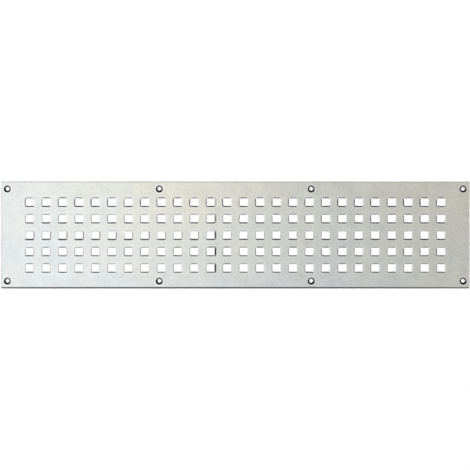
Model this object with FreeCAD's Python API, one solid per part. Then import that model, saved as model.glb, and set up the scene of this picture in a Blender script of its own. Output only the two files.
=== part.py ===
import FreeCAD, Part
import math
import os

# Flat ventilation grille: one punched sheet of silver anodised aluminium, screwed over an air opening
# through eight countersunk holes. All sizes are in millimetres.
# The frame: X along the length, Y across, Z out of the front face. The origin is the centre of the back face.

Vector = FreeCAD.Vector

# Sheet
SHEET_LENGTH = 570.0
SHEET_HEIGHT = 130.0
SHEET_THICKNESS = 2.0
CORNER_RADIUS = 1.0
FRONT_EDGE_RADIUS = 0.8

# Square vent holes: how far the first hole's centre keeps from the sheet's ends and sides at the least
HOLE_SIZE = 9.5
HOLE_PITCH = 20.0
END_TO_HOLE = 35.0
SIDE_TO_HOLE = 25.0

# Section of a punched hole, from the front face down: a rolled entry, a straight bright band,
# and a break that flares open to the back
ROLL_WIDTH = 0.8
ROLL_DEPTH = 0.24
BAND_END_DEPTH = 0.8
BREAK_FLARE = 0.12

# Countersunk screw holes, in one row along each long side
SCREWS_PER_ROW = 4
END_TO_SCREW = 8.0
SIDE_TO_SCREW = 9.0
SCREW_BORE = 4.5
COUNTERSINK_WIDTH = 8.2
COUNTERSINK_ANGLE = 90.0

# How far a cutting shape stands out of the sheet, front and back
CUTTER_OVERRUN = 1.0

# Room for rounding when the number of holes is counted
COUNT_MARGIN = 1e-6


def evenly_spaced(first, last, count):
    """Returns count places from first to last, the same distance apart."""
    step = (last - first) / (count - 1)
    return [first + step * number for number in range(count)]


def centred_pattern(length, least_margin, pitch):
    """Returns the places along a length that a centred row of holes takes, a pitch apart."""
    count = math.floor((length - 2 * least_margin) / pitch + COUNT_MARGIN) + 1
    half_run = (count - 1) * pitch / 2
    return [pitch * number - half_run for number in range(count)]


def sheet_blank():
    """Returns the blank: a rectangle with rounded corners and a rolled front edge."""
    lower_corner = Vector(-SHEET_LENGTH / 2, -SHEET_HEIGHT / 2, 0)
    block = Part.makeBox(SHEET_LENGTH, SHEET_HEIGHT, SHEET_THICKNESS, lower_corner)
    upright_edges = [edge for edge in block.Edges if edge.BoundBox.ZLength > SHEET_THICKNESS / 2]
    block = block.makeFillet(CORNER_RADIUS, upright_edges)
    front_edges = [edge for edge in block.Edges if edge.BoundBox.ZMin > SHEET_THICKNESS / 2]
    return block.makeFillet(FRONT_EDGE_RADIUS, front_edges)


def punch_section():
    """Returns the outline of a punched hole in the XZ plane, as a face centred on Z."""
    top = SHEET_THICKNESS + CUTTER_OVERRUN
    bottom = -CUTTER_OVERRUN
    front = SHEET_THICKNESS
    band_top = front - ROLL_DEPTH
    band_bottom = front - BAND_END_DEPTH
    band = HOLE_SIZE / 2
    mouth = band + ROLL_WIDTH
    back = band + BREAK_FLARE

    # The roll is an arc that leaves the front face smoothly and ends on the bright band.
    roll_radius = (ROLL_WIDTH**2 + ROLL_DEPTH**2) / (2 * ROLL_DEPTH)
    half_turn = math.asin(ROLL_WIDTH / roll_radius) / 2
    roll_middle_x = mouth - roll_radius * math.sin(half_turn)
    roll_middle_z = front - roll_radius * (1 - math.cos(half_turn))

    edges = []
    for side in (1, -1):
        mouth_point = Vector(side * mouth, 0, front)
        band_point = Vector(side * band, 0, band_top)
        break_point = Vector(side * band, 0, band_bottom)
        back_point = Vector(side * back, 0, 0)
        roll_middle = Vector(side * roll_middle_x, 0, roll_middle_z)
        edges += [
            Part.LineSegment(Vector(side * mouth, 0, top), mouth_point).toShape(),
            Part.Arc(mouth_point, roll_middle, band_point).toShape(),
            Part.LineSegment(band_point, break_point).toShape(),
            Part.LineSegment(break_point, back_point).toShape(),
            Part.LineSegment(back_point, Vector(side * back, 0, bottom)).toShape(),
        ]
    edges.append(Part.LineSegment(Vector(-mouth, 0, top), Vector(mouth, 0, top)).toShape())
    edges.append(Part.LineSegment(Vector(-back, 0, bottom), Vector(back, 0, bottom)).toShape())
    return Part.Face(Part.Wire(Part.__sortEdges__(edges)))


def vent_cutter():
    """Returns what the square punch takes away: two like bars that cross, so the corners mitre."""
    reach = HOLE_SIZE + 2 * ROLL_WIDTH
    section = punch_section()
    section.translate(Vector(0, -reach / 2, 0))
    bar_along_y = section.extrude(Vector(0, reach, 0))
    bar_along_x = bar_along_y.copy()
    bar_along_x.rotate(Vector(0, 0, 0), Vector(0, 0, 1), 90)
    return bar_along_y.common(bar_along_x)


def screw_cutter():
    """Returns the bore and the countersink above it, turned about Z."""
    bore = SCREW_BORE / 2
    mouth = COUNTERSINK_WIDTH / 2
    slope = math.tan(math.radians(COUNTERSINK_ANGLE / 2))
    cone_foot = SHEET_THICKNESS - (mouth - bore) / slope
    top = SHEET_THICKNESS + CUTTER_OVERRUN
    bottom = min(0, cone_foot) - CUTTER_OVERRUN
    outline = Part.makePolygon(
        [
            Vector(0, 0, bottom),
            Vector(bore, 0, bottom),
            Vector(bore, 0, cone_foot),
            Vector(mouth, 0, SHEET_THICKNESS),
            Vector(mouth, 0, top),
            Vector(0, 0, top),
            Vector(0, 0, bottom),
        ]
    )
    return Part.Face(outline).revolve(Vector(0, 0, 0), Vector(0, 0, 1), 360)


def copies_at(shape, places):
    """Returns one copy of the shape for each (x, y) place."""
    copies = []
    for x, y in places:
        copy = shape.copy()
        copy.translate(Vector(x, y, 0))
        copies.append(copy)
    return copies


def vent_places():
    """Returns the centres of the vent holes."""
    columns = centred_pattern(SHEET_LENGTH, END_TO_HOLE, HOLE_PITCH)
    rows = centred_pattern(SHEET_HEIGHT, SIDE_TO_HOLE, HOLE_PITCH)
    return [(x, y) for y in rows for x in columns]


def screw_places():
    """Returns the centres of the screw holes."""
    half_length = SHEET_LENGTH / 2 - END_TO_SCREW
    half_height = SHEET_HEIGHT / 2 - SIDE_TO_SCREW
    columns = evenly_spaced(-half_length, half_length, SCREWS_PER_ROW)
    return [(x, y) for y in (-half_height, half_height) for x in columns]


def grille_plate():
    """Returns the finished sheet: the blank, less every vent hole and every screw hole."""
    vents = copies_at(vent_cutter(), vent_places())
    screws = copies_at(screw_cutter(), screw_places())
    return sheet_blank().cut(vents + screws)


os.makedirs("parts", exist_ok=True)
plate = grille_plate()
plate.exportStep("parts/grille_plate.step")
print("grille_plate", len(plate.Solids), "solid", len(plate.Faces), "faces", round(plate.Volume, 1), "mm3")
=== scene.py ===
import math

import bpy
import numpy as np
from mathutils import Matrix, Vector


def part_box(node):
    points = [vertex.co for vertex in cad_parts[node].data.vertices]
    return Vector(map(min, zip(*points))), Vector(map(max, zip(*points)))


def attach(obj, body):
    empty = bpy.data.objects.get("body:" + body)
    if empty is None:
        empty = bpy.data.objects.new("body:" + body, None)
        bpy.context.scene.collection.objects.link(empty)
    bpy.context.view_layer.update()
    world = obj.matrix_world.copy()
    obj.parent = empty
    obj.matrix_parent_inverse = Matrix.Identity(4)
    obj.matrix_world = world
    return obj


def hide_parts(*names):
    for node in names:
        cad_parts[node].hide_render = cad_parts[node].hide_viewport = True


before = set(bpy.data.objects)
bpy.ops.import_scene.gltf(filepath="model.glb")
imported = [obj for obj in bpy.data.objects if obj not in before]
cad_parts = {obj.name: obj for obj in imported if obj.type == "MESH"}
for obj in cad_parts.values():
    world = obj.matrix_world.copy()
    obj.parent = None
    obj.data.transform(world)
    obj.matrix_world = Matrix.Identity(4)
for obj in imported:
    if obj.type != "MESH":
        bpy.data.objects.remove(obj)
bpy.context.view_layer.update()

# The camera
# The grille is photographed lying flat, from straight above its middle, so that its length fills the
# picture from side to side. It lies a hair to the right of the picture's middle and above it.
low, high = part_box("grille_plate")
PLATE_LENGTH = high.x - low.x
FRONT_FACE = high.z
SHARE_OF_PICTURE = 469.0 / 470.0
PLATE_RIGHT_OF_MIDDLE = 0.00035
PLATE_ABOVE_MIDDLE = 0.0002
LENS = 85.0
SENSOR_WIDTH = 36.0
NEAREST_SEEN = 0.05
FARTHEST_SEEN = 50.0

camera_data = bpy.data.cameras.new("camera")
camera_data.lens = LENS
camera_data.sensor_width = SENSOR_WIDTH
camera_data.clip_start = NEAREST_SEEN
camera_data.clip_end = FARTHEST_SEEN
camera_distance = PLATE_LENGTH / SHARE_OF_PICTURE * LENS / SENSOR_WIDTH
camera = bpy.data.objects.new("camera", camera_data)
camera.location = (-PLATE_RIGHT_OF_MIDDLE, -PLATE_ABOVE_MIDDLE, FRONT_FACE + camera_distance)
bpy.context.scene.collection.objects.link(camera)
bpy.context.scene.camera = camera
bpy.context.scene.view_settings.view_transform = "Standard"

# The table
# A plain white laminate top, much larger than the picture, on which the grille lies on its back face.
# It shows white through every hole and keeps the thin shadows of the sheet's edges.
TABLE_HALF_WIDTH = 30.0
TABLE_WHITE = (0.97, 0.97, 0.97, 1.0)
TABLE_ROUGHNESS = 0.9

table_mesh = bpy.data.meshes.new("table_top")
table_corners = np.array([(-1, -1, 0), (1, -1, 0), (1, 1, 0), (-1, 1, 0)]) * TABLE_HALF_WIDTH
table_mesh.from_pydata(table_corners.tolist(), [], [(0, 1, 2, 3)])
table_top = bpy.data.objects.new("table_top", table_mesh)
bpy.context.scene.collection.objects.link(table_top)

table_material = bpy.data.materials.new("white_laminate")
table_material.use_nodes = True
table_shader = table_material.node_tree.nodes["Principled BSDF"]
table_shader.inputs["Base Color"].default_value = TABLE_WHITE
table_shader.inputs["Roughness"].default_value = TABLE_ROUGHNESS
table_shader.inputs["Specular IOR Level"].default_value = 0.0
table_mesh.materials.append(table_material)

# The light
# A studio with white walls and a greyer ceiling. A wide soft panel hangs over the left half of the grille
# and is seen only in the metal, where its reflection fades along the sheet. A high lamp behind the grille
# draws the thin shadows and is kept out of the reflections.
WALL_WHITE = 1.0
CEILING_GREY = 0.69
WALL_TOP = 0.12
CEILING_FROM = 0.45
FILL_LIGHT = 0.42
PANEL_RADIANCE = 0.66
PANEL_WIDTH = 1.4
PANEL_DEPTH = 2.4
PANEL_HEIGHT = 1.25
PANEL_INNER_EDGE = -0.03
LAMP_STRENGTH = 2.2
LAMP_ELEVATION = 71.0
LAMP_ANGLE = 4.0


def worked(tree, operation, *values):
    """Adds a Math node to the tree and returns what it puts out. A value is a number or an output."""
    node = tree.nodes.new("ShaderNodeMath")
    node.operation = operation
    for number, value in enumerate(values):
        if isinstance(value, bpy.types.NodeSocket):
            tree.links.new(value, node.inputs[number])
        else:
            node.inputs[number].default_value = value
    return node.outputs["Value"]


def between(tree, value, low_in, high_in, low_out, high_out, interpolation="LINEAR"):
    """Adds a clamped Map Range node and returns its result."""
    node = tree.nodes.new("ShaderNodeMapRange")
    node.interpolation_type = interpolation
    node.inputs["From Min"].default_value = low_in
    node.inputs["From Max"].default_value = high_in
    node.inputs["To Min"].default_value = low_out
    node.inputs["To Max"].default_value = high_out
    tree.links.new(value, node.inputs["Value"])
    return node.outputs["Result"]


def split(tree, place):
    """Adds a Separate XYZ node on a place and returns its outputs."""
    node = tree.nodes.new("ShaderNodeSeparateXYZ")
    tree.links.new(place, node.inputs["Vector"])
    return node.outputs


world = bpy.data.worlds.new("studio")
bpy.context.scene.world = world
world.use_nodes = True
studio = world.node_tree
studio.nodes.clear()
upwards = split(studio, studio.nodes.new("ShaderNodeTexCoord").outputs["Object"])["Z"]
room_grey = between(studio, upwards, WALL_TOP, CEILING_FROM, WALL_WHITE, CEILING_GREY, "SMOOTHSTEP")
room = studio.nodes.new("ShaderNodeBackground")
studio.links.new(room_grey, room.inputs["Color"])
fill = studio.nodes.new("ShaderNodeBackground")
fill.inputs["Color"].default_value = (FILL_LIGHT, FILL_LIGHT, FILL_LIGHT, 1.0)

# The room is seen by the camera, in the metal and through glass. All else is lit by the even fill.
ray = studio.nodes.new("ShaderNodeLightPath").outputs
camera_or_glossy = worked(studio, "MAXIMUM", ray["Is Camera Ray"], ray["Is Glossy Ray"])
sees_room = worked(studio, "MAXIMUM", camera_or_glossy, ray["Is Transmission Ray"])
either = studio.nodes.new("ShaderNodeMixShader")
studio.links.new(sees_room, either.inputs["Fac"])
studio.links.new(fill.outputs["Background"], either.inputs[1])
studio.links.new(room.outputs["Background"], either.inputs[2])
world_output = studio.nodes.new("ShaderNodeOutputWorld")
studio.links.new(either.outputs["Shader"], world_output.inputs["Surface"])

panel_data = bpy.data.lights.new("soft_panel", "AREA")
panel_data.shape = "RECTANGLE"
panel_data.size = PANEL_WIDTH
panel_data.size_y = PANEL_DEPTH
panel_data.energy = PANEL_RADIANCE * math.pi * PANEL_WIDTH * PANEL_DEPTH
panel = bpy.data.objects.new("soft_panel", panel_data)
panel.location = (PANEL_INNER_EDGE - PANEL_WIDTH / 2, 0.0, PANEL_HEIGHT)
panel.visible_camera = False
panel.visible_diffuse = False
bpy.context.scene.collection.objects.link(panel)

lamp_data = bpy.data.lights.new("high_lamp", "SUN")
lamp_data.energy = LAMP_STRENGTH
lamp_data.angle = math.radians(LAMP_ANGLE)
lamp = bpy.data.objects.new("high_lamp", lamp_data)
lamp.rotation_euler = (math.radians(LAMP_ELEVATION - 90.0), 0.0, 0.0)
lamp.visible_glossy = False
bpy.context.scene.collection.objects.link(lamp)

# The punched sheet
# One piece of 2 mm aluminium sheet: sheared to size, struck with a square punch, countersunk for eight
# screws, then etched and anodised natural silver. All its sizes are in millimetres.
MILLIMETRE = 0.001
LENGTH = 570.0
HEIGHT = 130.0
THICKNESS = 2.0
CORNER_RADIUS = 1.0
EDGE_RADIUS = 0.8
BACK_EDGE_RADIUS = 0.12
HOLE_SIZE = 9.5
HOLE_PITCH = 20.0
HOLE_COLUMNS = 26
HOLE_ROWS = 5
HOLE_CORNER_RADIUS = 0.4
ROLL_WIDTH = 0.8
ROLL_DEPTH = 0.24
BAND_END_DEPTH = 0.8
BREAK_FLARE = 0.12
SCREW_COLUMNS = 4
END_TO_SCREW = 8.0
SIDE_TO_SCREW = 9.0
SCREW_BORE = 4.5
COUNTERSINK_WIDTH = 8.2

# Small roundings of a countersink, at its mouth and where its cone meets the bore
SINK_EDGE_RADIUS = 0.08
FOOT_RADIUS = 0.05
FOOT_DROP = 0.03

# How wide a flat band beside a cut keeps the back face's shading flat, and how far the painted shade
# reaches inwards from the sheet's outer edges
FLAT_BAND = 0.3
SHADE_SPREAD = 1.0

# Rings of points on the flat round a hole, by their distance from its mouth. Between them the painted
# highlight rim grows, is brightest and fades, and the painted shade ends.
RINGS_ROUND_VENT = [2.6, 1.7, 0.9, 0.3]
RINGS_ROUND_SCREW = [1.8, 1.5, 0.8, 0.4, 0.25]

# How far out along a vent hole's side the painted shade stays full, as a share of half the side
SHADE_FULL_TO = 0.62

# Into how many steps each rounding is cut
ROLL_STEPS = 2
SINK_EDGE_STEPS = 2
SHEET_EDGE_STEPS = 6
HOLE_CORNER_STEPS = 3
SHEET_CORNER_STEPS = 4
SCREW_QUARTER_STEPS = 10


def outline(columns, rows, steps):
    """A closed path round a rectangle, counter-clockwise, for a profile to be carried along.

    Returns base points, outward directions, and the index of the middle of each corner. A corner's
    points share one base and turn through a quarter in equal steps; between corners the path stops
    at each inner column or row. A point at offset d is base + d * direction.
    """
    quarter = np.linspace(0.0, math.pi / 2, steps + 1)
    left, right = columns[0], columns[-1]
    lower, upper = rows[0], rows[-1]
    corners = [(left, lower), (right, lower), (right, upper), (left, upper)]
    inner = [columns[1:-1], rows[1:-1], columns[-2:0:-1], rows[-2:0:-1]]
    bases, directions, middles = [], [], []
    count = 0
    for side in range(4):
        angle = math.pi + side * math.pi / 2 + quarter
        middles.append(count + steps // 2)
        bases.append(np.tile(corners[side], (len(quarter), 1)))
        directions.append(np.column_stack([np.cos(angle), np.sin(angle)]))
        stops = np.asarray(inner[side], float)
        if len(stops):
            level = np.full(len(stops), corners[side][1 - side % 2])
            bases.append(np.column_stack([stops, level] if side % 2 == 0 else [level, stops]))
            directions.append(np.tile(directions[-1][-1], (len(stops), 1)))
        count += len(quarter) + len(stops)
    return np.vstack(bases), np.vstack(directions), np.array(middles)


def carried(profile, base, direction, centres):
    """Carries a profile of (offset, height) pairs round a path, once for each centre.

    The point at path step n and profile step r is centre + base[n] + offset[r] * direction[n], at
    height[r]. Returns an array shaped centres, profile steps, path steps, 3.
    """
    offset, height = np.asarray(profile, float).T
    flat = base[None, :, :] + offset[:, None, None] * direction[None, :, :]
    flat = centres[:, None, None, :] + flat[None]
    tall = np.broadcast_to(height[None, :, None, None], flat.shape[:3] + (1,))
    return np.concatenate([flat, tall], axis=3)


def band_faces(centres, rings, steps, first):
    """Quads between neighbouring rings of carried(), closed round the path, from vertex number first."""
    number = first + np.arange(centres * rings * steps).reshape(centres, rings, steps)
    ahead = np.roll(number, -1, axis=2)
    return np.stack([number[:, :-1], number[:, 1:], ahead[:, 1:], ahead[:, :-1]], axis=-1)


def rounded(start, end, steps):
    """The quarter of an ellipse from start to end, leaving start level and reaching end upright.

    With t from 0 to a quarter turn, offset goes with sin t and height with 1 - cos t.
    """
    turn = np.linspace(0.0, math.pi / 2, steps + 1)
    offset = start[0] + (end[0] - start[0]) * np.sin(turn)
    height = start[1] + (end[1] - start[1]) * (1 - np.cos(turn))
    return list(zip(offset, height))


# Where the holes stand
vent_x = (np.arange(HOLE_COLUMNS) - (HOLE_COLUMNS - 1) / 2) * HOLE_PITCH
vent_y = (np.arange(HOLE_ROWS) - (HOLE_ROWS - 1) / 2) * HOLE_PITCH
screw_x = np.linspace(-1, 1, SCREW_COLUMNS) * (LENGTH / 2 - END_TO_SCREW)
screw_y = np.array([-1, 1]) * (HEIGHT / 2 - SIDE_TO_SCREW)

# The face is cut into cells: one square cell about each vent hole, a margin round them, and a narrow
# strip for the painted shade inside each outer edge. They end where the sheet's corners start to round.
inset_x = LENGTH / 2 - CORNER_RADIUS
inset_y = HEIGHT / 2 - CORNER_RADIUS
inner_x = (np.arange(HOLE_COLUMNS + 1) - HOLE_COLUMNS / 2) * HOLE_PITCH
inner_y = (np.arange(HOLE_ROWS + 1) - HOLE_ROWS / 2) * HOLE_PITCH
column_lines = np.concatenate([[-inset_x, SHADE_SPREAD - inset_x], inner_x, [inset_x - SHADE_SPREAD, inset_x]])
row_lines = np.concatenate([[-inset_y, SHADE_SPREAD - inset_y], inner_y, [inset_y - SHADE_SPREAD, inset_y]])

cell_column, cell_row = np.meshgrid(np.arange(len(column_lines) - 1), np.arange(len(row_lines) - 1))
cell_column, cell_row = cell_column.ravel(), cell_row.ravel()
cell_x = np.stack([column_lines[cell_column], column_lines[cell_column + 1]], axis=1)
cell_y = np.stack([row_lines[cell_row], row_lines[cell_row + 1]], axis=1)
cell_corners = np.stack([cell_x[:, [0, 1, 1, 0]], cell_y[:, [0, 0, 1, 1]]], axis=2)


def cells_about(xs, ys):
    """Returns the centres of the holes at every x and y, and the number of the cell that holds each."""
    x, y = (grid.ravel() for grid in np.meshgrid(xs, ys))
    column = np.searchsorted(column_lines, x) - 1
    row = np.searchsorted(row_lines, y) - 1
    return np.stack([x, y], axis=1), row * (len(column_lines) - 1) + column


vent_centres, vent_cells = cells_about(vent_x, vent_y)
screw_centres, screw_cells = cells_about(screw_x, screw_y)

# A vent hole's section: flat rings, rolled entry, straight burnished band, break that flares to the back
half_hole = HOLE_SIZE / 2
hole_base = half_hole - HOLE_CORNER_RADIUS
mouth = HOLE_CORNER_RADIUS + ROLL_WIDTH
back = HOLE_CORNER_RADIUS + BREAK_FLARE
vent_profile = [(mouth + reach, THICKNESS) for reach in RINGS_ROUND_VENT]
vent_profile += rounded((mouth, THICKNESS), (HOLE_CORNER_RADIUS, THICKNESS - ROLL_DEPTH), ROLL_STEPS)
vent_profile += [(HOLE_CORNER_RADIUS, THICKNESS - BAND_END_DEPTH), (back, 0.0)]
hole_stops = hole_base * np.array([-1.0, -SHADE_FULL_TO, SHADE_FULL_TO, 1.0])
vent_base, vent_direction, vent_middles = outline(hole_stops, hole_stops, HOLE_CORNER_STEPS)

# A screw hole's section: flat rings, countersink, bore and a flat ring on the back, all about its axis
bore = SCREW_BORE / 2
sink = COUNTERSINK_WIDTH / 2
cone_foot = THICKNESS - (sink - bore)
screw_profile = [(sink + reach, THICKNESS) for reach in RINGS_ROUND_SCREW]
sink_outside = (sink + SINK_EDGE_RADIUS, THICKNESS)
sink_inside = (sink - SINK_EDGE_RADIUS, THICKNESS - SINK_EDGE_RADIUS)
screw_profile += rounded(sink_outside, sink_inside, SINK_EDGE_STEPS)
screw_profile += [(bore + FOOT_RADIUS, cone_foot + FOOT_RADIUS), (bore, cone_foot - FOOT_DROP)]
screw_profile += [(bore, 0.0), (bore + FLAT_BAND, 0.0)]
screw_base, screw_direction, screw_middles = outline([0.0, 0.0], [0.0, 0.0], SCREW_QUARTER_STEPS)

# The sheet's outer edge: rolled front edge, sheared wall, small break at the back
wall = CORNER_RADIUS
edge_profile = [(0.0, THICKNESS), ((wall - EDGE_RADIUS) / 2, THICKNESS)]
edge_profile += rounded((wall - EDGE_RADIUS, THICKNESS), (wall, THICKNESS - EDGE_RADIUS), SHEET_EDGE_STEPS)
edge_profile += [(wall, BACK_EDGE_RADIUS), (wall - BACK_EDGE_RADIUS, 0.0)]
edge_profile += [(wall - BACK_EDGE_RADIUS - FLAT_BAND, 0.0), (0.0, 0.0)]
edge_base, edge_direction, _ = outline(column_lines, row_lines, SHEET_CORNER_STEPS)

vent_points = carried(vent_profile, vent_base, vent_direction, vent_centres)
screw_points = carried(screw_profile, screw_base, screw_direction, screw_centres)
edge_points = carried(edge_profile, edge_base, edge_direction, np.zeros((1, 2)))

# All points in one list: vents, screws, edge, then each cell's corners on the front and on the back
front_corners = np.concatenate([cell_corners, np.full(cell_corners.shape[:2] + (1,), THICKNESS)], axis=2)
back_corners = np.concatenate([cell_corners, np.zeros(cell_corners.shape[:2] + (1,))], axis=2)
blocks = [vent_points, screw_points, edge_points, front_corners, back_corners]
firsts = np.cumsum([0] + [block.size // 3 for block in blocks])
points = np.concatenate([block.reshape(-1, 3) for block in blocks])
VENT, SCREW, EDGE, FRONT, BACK = range(5)

# Three finishes: the etched skin, the walls that a punch or shears cut, and the turned countersinks.
# Each list gives the finish of every step of a profile.
SKIN, PUNCHED, TURNED = range(3)
vent_zones = [SKIN] * 6 + [PUNCHED] * 2
screw_zones = [SKIN] * 5 + [TURNED] * 5 + [SKIN]
edge_zones = [SKIN] * 8 + [PUNCHED] + [SKIN] * 3
faces = []
zones = []
for kind, zone in ((VENT, vent_zones), (SCREW, screw_zones), (EDGE, edge_zones)):
    quads = band_faces(*blocks[kind].shape[:3], firsts[kind])
    faces.extend(quads.reshape(-1, 4).tolist())
    zones.extend(np.broadcast_to(np.array(zone)[None, :, None], quads.shape[:3]).ravel().tolist())


def fill_cells(cells, kind, middles, ring, corners_first, turn):
    """Fills the flat of each cell between its border and its hole with four faces, one to a side.

    Each runs along the border from corner to corner and back along the hole's ring between the
    middles of the same two corners. turn is 1 on the front face and -1 on the back.
    """
    block = blocks[kind]
    steps = block.shape[2]
    ring_first = firsts[kind] + np.arange(block.shape[0]) * block.shape[1] * steps + ring * steps
    for side in range(4):
        after = (side + 1) % 4
        start, end = middles[side], middles[after] + (steps if after == 0 else 0)
        ring_part = np.arange(end, start - 1, -1) % steps
        border = firsts[corners_first] + cells[:, None] * 4 + np.array([side, after])
        ngons = np.concatenate([border, ring_first[:, None] + ring_part], axis=1)[:, ::turn]
        faces.extend(ngons.tolist())
        zones.extend([SKIN] * len(ngons))


fill_cells(vent_cells, VENT, vent_middles, 0, FRONT, 1)
fill_cells(vent_cells, VENT, vent_middles, len(vent_profile) - 1, BACK, -1)
fill_cells(screw_cells, SCREW, screw_middles, 0, FRONT, 1)
fill_cells(screw_cells, SCREW, screw_middles, len(screw_profile) - 1, BACK, -1)
plain_cells = np.setdiff1d(np.arange(len(cell_corners)), np.concatenate([vent_cells, screw_cells]))
for side_first, turn in ((FRONT, 1), (BACK, -1)):
    plain = (firsts[side_first] + plain_cells[:, None] * 4 + np.arange(4))[:, ::turn]
    faces.extend(plain.tolist())
    zones.extend([SKIN] * len(plain))

# The painted shade
# Painted shade: a dark line painted along the rolled edge of each cut, strongest below it. Its strength
# is given for the four sides of a cut: below it, above it, to its left and to its right.
random = np.random.default_rng(7)
RIGHT_SIDE = 3

# Round the vent holes at mid-length, from the top row to the bottom one, each row with its own strengths.
# A strength over 1 also spreads outwards.
SHADE_ROUND_HOLES = np.array(
    [
        (0.84, 0.31, 0.58, 0.00),
        (0.98, 0.20, 0.30, 0.00),
        (1.13, 0.07, 0.07, 0.32),
        (0.67, 0.26, 0.29, 0.11),
        (0.66, 0.24, 0.20, 0.08),
    ]
)

# Towards the right end the painted shade loses these shares and gains these strengths
SHADE_LOST_TO_RIGHT = np.array([0.12, 0.0, 0.0, 0.95])
SHADE_GAINED_TO_RIGHT = np.array([0.0, 0.0, 0.15, 0.0])

# The shares that the painted shade loses at a hole's corners, most at the upper left one
SHADE_LOST_LOWER = [0.1, 0.0, 0.15, 0.4]
SHADE_LOST_UPPER_RIGHT = [0.0, 0.5, 0.0, 0.6]
SHADE_LOST_UPPER_LEFT = [0.0, 0.9, 0.9, 0.0]

# The factors between which chance varies the painted shade from hole to hole
SHADE_LEAST = [0.9, 0.4, 0.6, 0.8]
SHADE_MOST = [1.12, 1.5, 1.3, 1.15]

# The column of holes, counted from 0, whose holes have a stronger painted shade on their right, from the
# bottom row to the top one.
SHADED_RIGHT_COLUMN = 11
COLUMN_SHADE_BELOW = 1.2
COLUMN_SHADE_ABOVE = 0.3

# The share of the painted shade that reaches down to the burnished band's end
SHADE_ON_BAND_END = 0.7

# Round a screw hole: the direction in which its painted shade is darkest, its mean, its swing and its limits
SCREW_SHADE_TOWARDS = np.array([-0.26, -0.966])
SCREW_SHADE_MEAN = 0.48
SCREW_SHADE_SWING = 0.9
SCREW_SHADE_LEAST = 0.3
SCREW_SHADE_MOST = 1.05

# Round the sheet's outer edge: the four sides at mid-length, and the shares lost towards the right end
# and, with the square of the distance, towards both ends
SHADE_ROUND_SHEET = [0.79, 0.11, 0.05, 0.0]
EDGE_SHADE_LOST_TO_RIGHT = 0.15
EDGE_SHADE_LOST_TO_ENDS = 0.35


def mixed_round(direction, strengths):
    """A value that runs smoothly round a cut, given its strengths below, above, left and right.

    The sum of the four strengths, each times the fourth power of its share of the direction, so that
    the value is small at the corners.
    """
    x, y = direction[..., 0], direction[..., 1]
    sides = np.stack([-y, y, -x, x], axis=-1).clip(0, 1) ** 4
    return (sides * strengths).sum(axis=-1)


def dark_share(strength):
    """The share of painted shade that looks as dark as asked: one less the unshaded part to the power 2.2.
    """
    return 1 - (1 - np.clip(strength, 0, 1)) ** 2.2


along_sheet = vent_centres[:, 0, None] / (LENGTH / 2)
vent_sides = np.repeat(SHADE_ROUND_HOLES[::-1], HOLE_COLUMNS, axis=0)
vent_sides = vent_sides * (1 - SHADE_LOST_TO_RIGHT * along_sheet) + SHADE_GAINED_TO_RIGHT * along_sheet
vent_sides = vent_sides.clip(0, None)
vent_sides = vent_sides * random.uniform(SHADE_LEAST, SHADE_MOST, vent_sides.shape)
column_shade = np.linspace(COLUMN_SHADE_BELOW, COLUMN_SHADE_ABOVE, HOLE_ROWS)
in_shaded_column = slice(SHADED_RIGHT_COLUMN, None, HOLE_COLUMNS)
vent_sides[in_shaded_column, RIGHT_SIDE] = np.maximum(vent_sides[in_shaded_column, RIGHT_SIDE], column_shade)

# At the corners of its path, which lie past the last stops, the painted shade thins
past_stops = np.abs(vent_base).min(axis=1) > (1 + SHADE_FULL_TO) / 2 * hole_base
is_left, is_upper = vent_base[:, 0, None] < 0, vent_base[:, 1, None] > 0
lost = np.where(is_upper, np.where(is_left, SHADE_LOST_UPPER_LEFT, SHADE_LOST_UPPER_RIGHT), SHADE_LOST_LOWER)
vent_sides = vent_sides[:, None] * (1 - lost * past_stops[:, None])

# The painted shade covers the roll, reaches down the band, and spreads onto the flat where it is strong
rings_out = len(RINGS_ROUND_VENT)
band_end = rings_out + ROLL_STEPS + 1
vent_dark = mixed_round(vent_direction, vent_sides)
vent_shade = np.zeros(vent_points.shape[:3])
vent_shade[:, rings_out - 2] = mixed_round(vent_direction, (vent_sides - 1).clip(0, 1))
vent_shade[:, rings_out - 1] = mixed_round(vent_direction, vent_sides.clip(0, 1) ** 2)
vent_shade[:, rings_out:band_end] = vent_dark[:, None]
vent_shade[:, band_end] = vent_dark * SHADE_ON_BAND_END
column_shade_spill = mixed_round(vent_direction, [0, 0, 0, 1]) * column_shade[:, None]
vent_shade[in_shaded_column, rings_out - 2] = np.maximum(vent_shade[in_shaded_column, rings_out - 2], column_shade_spill)

# A screw hole's painted shade covers the countersink and the bore, and spreads onto the flat below it
screw_rings_out = len(RINGS_ROUND_SCREW)
downwards = screw_direction @ SCREW_SHADE_TOWARDS
screw_dark = (SCREW_SHADE_MEAN + SCREW_SHADE_SWING * downwards).clip(SCREW_SHADE_LEAST, SCREW_SHADE_MOST)
screw_shade = np.zeros(screw_points.shape[:3])
screw_shade[:, screw_rings_out - 2] = downwards.clip(0, 1)
screw_shade[:, screw_rings_out - 1:-1] = screw_dark

# The sheet's own painted shade covers its rolled front edge
along_edge = edge_base[:, 0] / (LENGTH / 2)
edge_share = 1 - EDGE_SHADE_LOST_TO_RIGHT * along_edge - EDGE_SHADE_LOST_TO_ENDS * along_edge**2
edge_shade = np.zeros(edge_points.shape[:3])
edge_shade[:, :SHEET_EDGE_STEPS + 3] = mixed_round(edge_direction, SHADE_ROUND_SHEET) * edge_share

painted_shade = dark_share(np.concatenate([vent_shade.ravel(), screw_shade.ravel(), edge_shade.ravel()]))
painted_shade = np.concatenate([painted_shade, np.zeros(len(points) - len(painted_shade))])

# The painted highlight rim
# A painted highlight: a faint bright rim round each vent hole, most below it, and round each screw
# hole. A vent hole's rolled entry is painted lighter too.
RIM_ROUND_HOLE = [0.6, 0.3, 0.25, 0.3]
RIM_ON_VENT_RINGS = [0.0, 1.0, 0.5, 0.0]
RIM_ON_SCREW_RINGS = [0.0, 0.5, 1.0, 1.0, 0.4]

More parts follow.
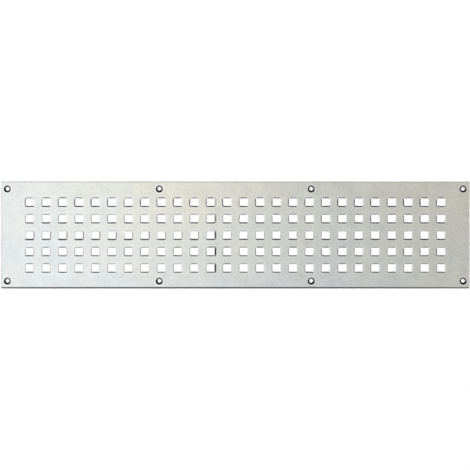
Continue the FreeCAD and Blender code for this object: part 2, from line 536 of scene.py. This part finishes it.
vent_rim = np.zeros(vent_points.shape[:3])
vent_rim[:, :rings_out] = np.outer(RIM_ON_VENT_RINGS, mixed_round(vent_direction, RIM_ROUND_HOLE))
vent_rim[:, rings_out:rings_out + ROLL_STEPS] = 1.0
screw_rim = np.zeros(screw_points.shape[:3])
screw_rim[:, :screw_rings_out] = np.array(RIM_ON_SCREW_RINGS)[:, None]
highlight_rim = np.zeros(len(points))
highlight_rim[firsts[VENT]:firsts[SCREW]] = vent_rim.ravel()
highlight_rim[firsts[SCREW]:firsts[EDGE]] = screw_rim.ravel()

# How far a point stands from its screw's axis, for the marks that the countersinking tool turns
from_axis = np.zeros(len(points))
screw_offset = np.array([offset for offset, height in screw_profile])[None, :, None]
from_axis[firsts[SCREW]:firsts[EDGE]] = np.broadcast_to(screw_offset, screw_rim.shape).ravel()

# Points that meet, to a ten-thousandth of a millimetre, are made one. It keeps the strongest painted shade.
keys = np.round(points * 10000).astype(np.int64)
_, first_of, number_of = np.unique(keys, axis=0, return_index=True, return_inverse=True)
number_of = number_of.ravel()
points = points[first_of]
strongest_shade = np.zeros(len(points))
np.maximum.at(strongest_shade, number_of, painted_shade)
highlight_rim = highlight_rim[first_of]
from_axis = from_axis[first_of]


def without_repeats(face):
    """Drops the points of a face that are the same as the one before, as at a corner's base."""
    return [a for a, b in zip(face, face[1:] + face[:1]) if a != b]


SHARP_ABOVE = 32.0
faces = [without_repeats([int(number_of[corner]) for corner in face]) for face in faces]
sound = [number for number, face in enumerate(faces) if len(face) > 2]
faces = [faces[number] for number in sound]
zones = [zones[number] for number in sound]

plate_mesh = bpy.data.meshes.new("grille_sheet")
plate_mesh.from_pydata((points * MILLIMETRE).tolist(), [], faces)
plate_mesh.polygons.foreach_set("material_index", np.array(zones, np.int32))
plate_mesh.polygons.foreach_set("use_smooth", np.ones(len(faces), bool))
plate_mesh.update()
plate_mesh.set_sharp_from_angle(angle=math.radians(SHARP_ABOVE))
for name, values in (("painted_shade", strongest_shade), ("highlight_rim", highlight_rim), ("from_axis", from_axis)):
    plate_mesh.attributes.new(name, "FLOAT", "POINT").data.foreach_set("value", values.astype(np.float32))
plate = bpy.data.objects.new("grille_sheet", plate_mesh)
bpy.context.scene.collection.objects.link(plate)

# The finish
# Etched, natural silver anodised aluminium. The painted shade and the painted highlight rim lie in it,
# and each cut keeps its tool's marks. The patterns' scales are in cycles to the metre.
WARM_SILVER = (0.703, 0.698, 0.623, 1.0)
COOL_SILVER = (0.645, 0.681, 0.697, 1.0)
# Painted shade, for the dark lines along the rolled edges and walls of the cuts
PAINTED_SHADE_DARK = (0.022, 0.023, 0.023, 1.0)
# Painted shade in the countersinks, darker than along the cuts
COUNTERSINK_SHADE = (0.012, 0.0123, 0.0127, 1.0)
# A painted highlight, for the bright rims round the holes and the lightened rolled entries
RIM_HIGHLIGHT = (0.88, 0.88, 0.87, 1.0)
PATCHES = 18.0
CLOUDS = 55.0
MOTTLE = 650.0
ROLLING_LINES = 3500.0

# How the silver's warmth runs: its value at the middle, its rise to the right end, its rise to the upper
# side at mid-length and at the ends, a swing along the sheet, and patches
WARMTH = 0.55
WARMER_TO_RIGHT = 0.22
WARMER_TO_TOP = 0.36
WARMER_TO_TOP_AT_END = 0.06
WARMTH_SWING = 0.15
SWING_LENGTH = 0.37
SWING_PEAK = -0.074
PATCH_WARMTH = 1.3

# The shares of the tone's three patterns, how far the tone shades the silver and breaks up the painted
# shade, how much of the painted highlight shows, and how far the tone moves the roughness
MOTTLE_SHARE = 0.5
CLOUD_SHARE = 0.3
LINE_SHARE = 0.2
SHADE_SWING = 0.24
PAINTED_SHADE_SWING = 0.15
RIM_HIGHLIGHT_SHARE = 0.6
ROUGHNESS_SWING = 0.04

# The bumps of the finish's own grain and of the tools' marks
GRAIN_HEIGHT = 0.00003
GRAIN_STRENGTH = 0.6
MARK_STRENGTH = 0.8


def noise(tree, place, scale, detail, roughness):
    """Adds a Noise Texture on the given place and returns its grey."""
    node = tree.nodes.new("ShaderNodeTexNoise")
    node.inputs["Detail"].default_value = detail
    node.inputs["Roughness"].default_value = roughness
    if isinstance(scale, bpy.types.NodeSocket):
        tree.links.new(scale, node.inputs["Scale"])
    else:
        node.inputs["Scale"].default_value = scale
    tree.links.new(place, node.inputs["Vector"])
    return node.outputs["Fac"]


def stretched(tree, place, factors):
    """Multiplies a place by three factors, each a number or an output, and returns it."""
    axes = split(tree, place)
    joined = tree.nodes.new("ShaderNodeCombineXYZ")
    for axis, factor in zip("XYZ", factors):
        tree.links.new(worked(tree, "MULTIPLY", axes[axis], factor), joined.inputs[axis])
    return joined.outputs["Vector"]


def colours_mixed(tree, share, first, second, blend="MIX"):
    """Adds a colour Mix node and returns its result. Each argument is a value or an output."""
    node = tree.nodes.new("ShaderNodeMix")
    node.data_type = "RGBA"
    node.blend_type = blend
    for name, value in (("Factor", share), ("A", first), ("B", second)):
        if isinstance(value, bpy.types.NodeSocket):
            tree.links.new(value, node.inputs[name])
        else:
            node.inputs[name].default_value = value
    return node.outputs["Result"]


def attribute(tree, name):
    """Adds an Attribute node for one of the sheet's own values and returns it."""
    node = tree.nodes.new("ShaderNodeAttribute")
    node.attribute_name = name
    return node.outputs["Fac"]


def anodised_silver():
    """A node group for the etched and anodised skin: its colour, its tone and its height.

    The colour runs from cool to warm: warmth is its value at the middle, plus a rise along X, plus a
    rise along Y that changes with the square of X, plus a cosine along X, plus broad patches. The tone
    is a mix of fine mottle, clouds and lines along the sheet, and it shades the colour. The height is
    half pits and half lines.
    """
    tree = bpy.data.node_groups.new("anodised_silver", "ShaderNodeTree")
    tree.interface.new_socket("Pit size", in_out="INPUT", socket_type="NodeSocketFloat")
    tree.interface.new_socket("Line length", in_out="INPUT", socket_type="NodeSocketFloat")
    tree.interface.new_socket("Colour", in_out="OUTPUT", socket_type="NodeSocketColor")
    tree.interface.new_socket("Tone", in_out="OUTPUT", socket_type="NodeSocketFloat")
    tree.interface.new_socket("Height", in_out="OUTPUT", socket_type="NodeSocketFloat")
    given = tree.nodes.new("NodeGroupInput").outputs
    result = tree.nodes.new("NodeGroupOutput").inputs
    place = tree.nodes.new("ShaderNodeTexCoord").outputs["Object"]
    axes = split(tree, place)

    along = worked(tree, "DIVIDE", axes["X"], LENGTH / 2 * MILLIMETRE)
    across = worked(tree, "DIVIDE", axes["Y"], HEIGHT / 2 * MILLIMETRE)
    from_middle = worked(tree, "MULTIPLY", along, along)
    rise = worked(tree, "MULTIPLY_ADD", from_middle, WARMER_TO_TOP_AT_END - WARMER_TO_TOP, WARMER_TO_TOP)
    warmth = worked(tree, "MULTIPLY_ADD", across, rise, WARMTH - PATCH_WARMTH / 2)
    warmth = worked(tree, "MULTIPLY_ADD", along, WARMER_TO_RIGHT, warmth)
    from_peak = worked(tree, "SUBTRACT", axes["X"], SWING_PEAK)
    swing = worked(tree, "COSINE", worked(tree, "MULTIPLY", from_peak, 2 * math.pi / SWING_LENGTH))
    warmth = worked(tree, "MULTIPLY_ADD", swing, WARMTH_SWING, warmth)
    patches = noise(tree, place, PATCHES, 4.0, 0.65)
    warmth = between(tree, worked(tree, "MULTIPLY_ADD", patches, PATCH_WARMTH, warmth), 0.0, 1.0, 0.0, 1.0)
    silver = colours_mixed(tree, warmth, COOL_SILVER, WARM_SILVER)

    shrink = worked(tree, "DIVIDE", 1.0, given["Line length"])
    lines = noise(tree, stretched(tree, place, (shrink, 1.0, 1.0)), ROLLING_LINES, 3.0, 0.6)
    tone = worked(tree, "MULTIPLY", noise(tree, place, MOTTLE, 6.0, 0.75), MOTTLE_SHARE)
    tone = worked(tree, "MULTIPLY_ADD", noise(tree, place, CLOUDS, 5.0, 0.75), CLOUD_SHARE, tone)
    tone = worked(tree, "MULTIPLY_ADD", lines, LINE_SHARE, tone)
    shade = between(tree, tone, 0.3, 0.7, 1 - SHADE_SWING, 1 + SHADE_SWING)
    tree.links.new(colours_mixed(tree, 1.0, silver, shade, "MULTIPLY"), result["Colour"])
    tree.links.new(tone, result["Tone"])

    pits = noise(tree, place, worked(tree, "DIVIDE", 1.0, given["Pit size"]), 3.0, 0.6)
    height = worked(tree, "MULTIPLY_ADD", lines, 0.5, worked(tree, "MULTIPLY", pits, 0.5))
    tree.links.new(height, result["Height"])
    return tree


silver_group = anodised_silver()


def anodised(name, pit_size, line_length, roughness, dark, shade_share):
    """The anodised finish with the painted highlight rim and the painted shade over it. Returns the material
    and its bump.

    The colour is the silver, mixed with the painted highlight by the rim's share and then with the dark
    colour by the painted shade's share, which the tone breaks up.
    """
    material = bpy.data.materials.new(name)
    material.use_nodes = True
    tree = material.node_tree
    shader = tree.nodes["Principled BSDF"]
    shader.inputs["Metallic"].default_value = 1.0
    silver = tree.nodes.new("ShaderNodeGroup")
    silver.node_tree = silver_group
    silver.inputs["Pit size"].default_value = pit_size
    silver.inputs["Line length"].default_value = line_length
    tone = silver.outputs["Tone"]

    rim_share = worked(tree, "MULTIPLY", attribute(tree, "highlight_rim"), RIM_HIGHLIGHT_SHARE)
    colour = colours_mixed(tree, rim_share, silver.outputs["Colour"], RIM_HIGHLIGHT)
    least, most = (1 - PAINTED_SHADE_SWING) * shade_share, (1 + PAINTED_SHADE_SWING) * shade_share
    share = worked(tree, "MULTIPLY", attribute(tree, "painted_shade"), between(tree, tone, 0.35, 0.65, least, most))
    tree.links.new(colours_mixed(tree, share, colour, dark), shader.inputs["Base Color"])

    rough = between(tree, tone, 0.3, 0.7, roughness - ROUGHNESS_SWING, roughness + ROUGHNESS_SWING)
    tree.links.new(rough, shader.inputs["Roughness"])
    bump = tree.nodes.new("ShaderNodeBump")
    bump.inputs["Strength"].default_value = GRAIN_STRENGTH
    bump.inputs["Distance"].default_value = GRAIN_HEIGHT
    tree.links.new(silver.outputs["Height"], bump.inputs["Height"])
    tree.links.new(bump.outputs["Normal"], shader.inputs["Normal"])
    return material, bump


def marked(material, bump, height, distance):
    """Adds a coarser bump over the finish's own, for the marks that a tool leaves."""
    tree = material.node_tree
    marks = tree.nodes.new("ShaderNodeBump")
    marks.inputs["Strength"].default_value = MARK_STRENGTH
    marks.inputs["Distance"].default_value = distance
    tree.links.new(height, marks.inputs["Height"])
    tree.links.new(bump.outputs["Normal"], marks.inputs["Normal"])
    tree.links.new(marks.outputs["Normal"], tree.nodes["Principled BSDF"].inputs["Normal"])


# The skin: fine pits, and the mill's rolling lines drawn out along the sheet
# The skin carries the painted shade in full, and the painted highlight rim
skin, skin_bump = anodised("satin_silver_skin", 0.00015, 30.0, 0.41, PAINTED_SHADE_DARK, 1.0)

# The punched and sheared walls: fine drag lines down the band, and a torn, grainy break below it that
# starts at a ragged line
DRAG_LINES = 7000.0
DRAG_SQUEEZE = 0.03
TORN_GRAIN = 4500.0
TORN_HEIGHT = 3.0
RAGS = 900.0
RAG_SWING = 0.0006
BREAK_BLUR = 0.00005
WALL_MARK_HEIGHT = 0.00006
BURNISHED_ROUGHNESS = 0.24
DRAG_ROUGHNESS = 0.2
TORN_ROUGHNESS = 0.2
# The punched walls carry the painted shade too, at a little less than the skin's share
punched, punched_bump = anodised("punched_wall", 0.0002, 0.5, 0.42, PAINTED_SHADE_DARK, 0.85)
wall_tree = punched.node_tree
wall_place = wall_tree.nodes.new("ShaderNodeTexCoord").outputs["Object"]
rags = noise(wall_tree, wall_place, RAGS, 3.0, 0.6)
ragged = worked(wall_tree, "MULTIPLY_ADD", rags, RAG_SWING, -RAG_SWING / 2)
level = worked(wall_tree, "ADD", split(wall_tree, wall_place)["Z"], ragged)
break_level = (THICKNESS - BAND_END_DEPTH) * MILLIMETRE
torn = between(wall_tree, level, break_level - BREAK_BLUR, break_level + BREAK_BLUR, 1.0, 0.0)
drag = noise(wall_tree, stretched(wall_tree, wall_place, (1.0, 1.0, DRAG_SQUEEZE)), DRAG_LINES, 2.0, 0.5)
grain = noise(wall_tree, wall_place, TORN_GRAIN, 4.0, 0.7)
torn_grain = worked(wall_tree, "MULTIPLY", grain, torn)
wall_marks = worked(wall_tree, "MULTIPLY_ADD", torn_grain, TORN_HEIGHT, drag)
marked(punched, punched_bump, wall_marks, WALL_MARK_HEIGHT)
wall_rough = worked(wall_tree, "MULTIPLY_ADD", drag, DRAG_ROUGHNESS, BURNISHED_ROUGHNESS)
wall_rough = worked(wall_tree, "MULTIPLY_ADD", torn, TORN_ROUGHNESS, wall_rough)
wall_tree.links.new(wall_rough, wall_tree.nodes["Principled BSDF"].inputs["Roughness"])

# The turned countersinks: the rings that the tool's feed leaves, under a painted shade darker than the
# skin's
FEED = 0.16
RING_HEIGHT = 0.00002
turned, turned_bump = anodised("turned_countersink", 0.0003, 1.0, 0.45, COUNTERSINK_SHADE, 1.25)
turned_tree = turned.node_tree
ring_turn = worked(turned_tree, "MULTIPLY", attribute(turned_tree, "from_axis"), 2 * math.pi / FEED)
marked(turned, turned_bump, worked(turned_tree, "SINE", ring_turn), RING_HEIGHT)

# In the order of SKIN, PUNCHED and TURNED
for material in (skin, punched, turned):
    plate_mesh.materials.append(material)

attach(plate, "root")
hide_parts("grille_plate")
